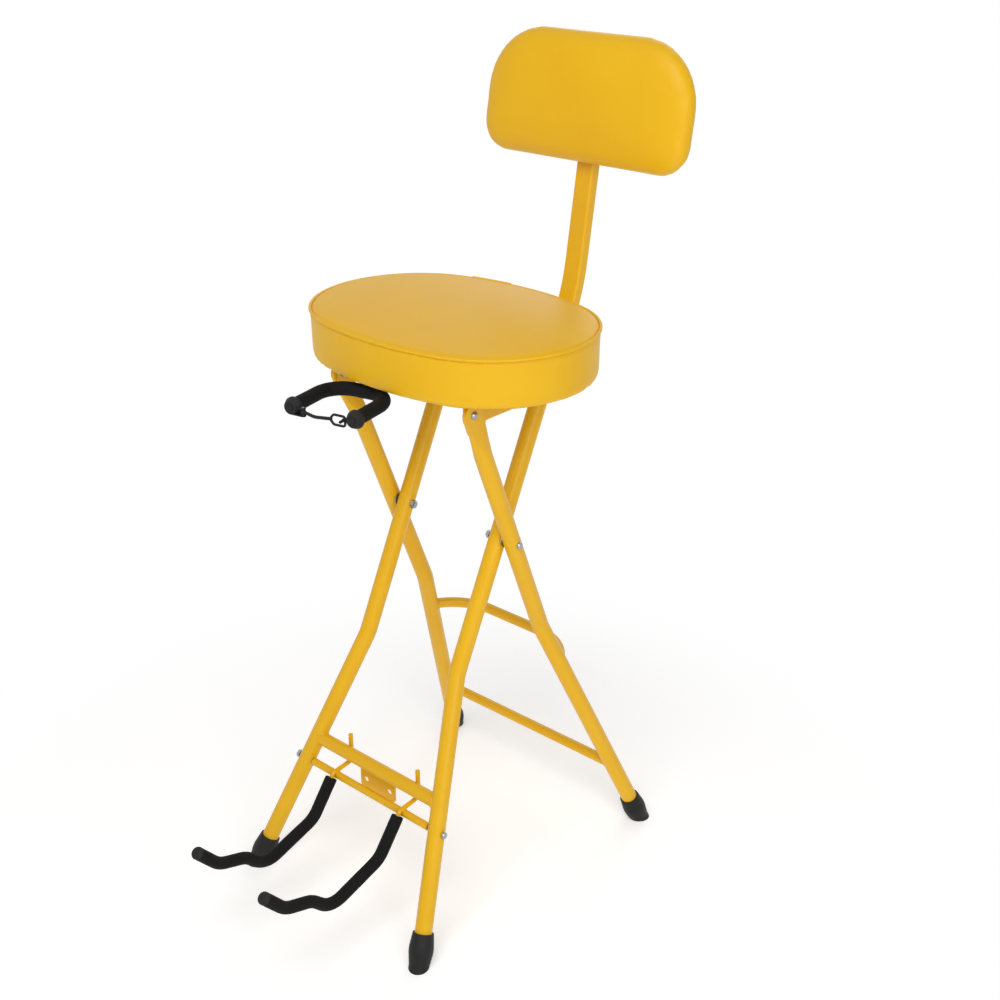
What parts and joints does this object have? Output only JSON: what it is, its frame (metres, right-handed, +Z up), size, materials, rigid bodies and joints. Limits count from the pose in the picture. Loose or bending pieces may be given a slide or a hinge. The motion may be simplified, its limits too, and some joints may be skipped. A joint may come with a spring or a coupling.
{
  "type": "folding guitar stool",
  "caption": "Folding stool with crossed tube legs, padded oval seat and backrest, a swing-up guitar cradle at the front legs and a slide-in neck yoke under the seat.",
  "frame": {"origin": "on the floor, midway between the front and rear limits and between the sides", "axes": "+Z up, the sitter faces -Y, +X to the sitter's left"},
  "size_m": [0.3828, 0.6869, 1.0472],
  "materials": {
    "yellow_paint": "gloss",
    "bright_steel": "polished",
    "black_rubber": "matte",
    "black_foam": "matte",
    "yellow_vinyl": "satin",
    "plywood": "matte",
    "black_plastic": "matte"
  },
  "bodies": {
    "rear_frame": {"rear_leg_right": "yellow_paint", "rear_leg_left": "yellow_paint", "rear_lower_bar": "yellow_paint", "rear_brace": "yellow_paint", "rear_foot_right": "black_rubber", "rear_foot_left": "black_rubber", "pivot_bolts": "bright_steel", "pivot_nuts": "bright_steel", "pivot_washers": "bright_steel", "hinge_bolts": "bright_steel", "hinge_nuts": "bright_steel"},
    "front_frame": {"front_leg_right": "yellow_paint", "front_leg_left": "yellow_paint", "front_crossbar": "yellow_paint", "cross_rod": "bright_steel", "leg_plugs": "black_plastic", "axle_plate": "yellow_paint", "front_foot_right": "black_rubber", "front_foot_left": "black_rubber", "cradle_bolt": "bright_steel", "cradle_nut": "bright_steel"},
    "seat": {"seat_board": "plywood", "seat_cushion": "yellow_vinyl", "seat_rail_right": "yellow_paint", "seat_rail_left": "yellow_paint", "rail_screws": "bright_steel", "backrest_post": "yellow_paint", "post_plug": "black_plastic", "post_bolts": "bright_steel", "backrest_board": "plywood", "backrest_pad": "yellow_vinyl", "backrest_bolts": "bright_steel", "yoke_guide": "black_plastic", "guide_screws": "bright_steel"},
    "cradle": {"cradle_frame": "yellow_paint", "cradle_foam_right": "black_foam", "cradle_foam_left": "black_foam", "cradle_tip_right": "black_rubber", "cradle_tip_left": "black_rubber"},
    "yoke": {"yoke_rod": "bright_steel", "yoke_foam": "black_foam", "yoke_cap_left": "black_rubber", "yoke_cap_right": "black_rubber", "yoke_stop_pin": "bright_steel", "strap_pin": "bright_steel"},
    "strap": {"yoke_strap": "black_rubber"}
  },
  "joints": [
    {"name": "leg_fold", "type": "hinge", "parent": "rear_frame", "child": "front_frame", "pos_m": [0, 0.0516, 0.4804], "axis": [1, 0, 0], "range_deg": [0, 40]},
    {"name": "seat_fold", "type": "hinge", "parent": "rear_frame", "child": "seat", "pos_m": [0, -0.02433, 0.67168], "axis": [1, 0, 0], "range_deg": [0, 95]},
    {"name": "cradle_fold", "type": "hinge", "parent": "front_frame", "child": "cradle", "pos_m": [0, -0.10806, 0.14717], "axis": [-1, 0, 0], "range_deg": [0, 105]},
    {"name": "yoke_slide", "type": "slide", "parent": "seat", "child": "yoke", "axis": [-0.2079, 0.9781, 0], "range_m": [0, 0.056]},
    {"name": "strap_swing", "type": "hinge", "parent": "yoke", "child": "strap", "pos_m": [-0.03886, -0.14638, 0.67366], "axis": [0, 0, -1], "range_deg": [0, 100]}
  ],
  "couplings": [
    {"joint": "seat_fold", "follows": "leg_fold", "ratio": 2.36}
  ]
}
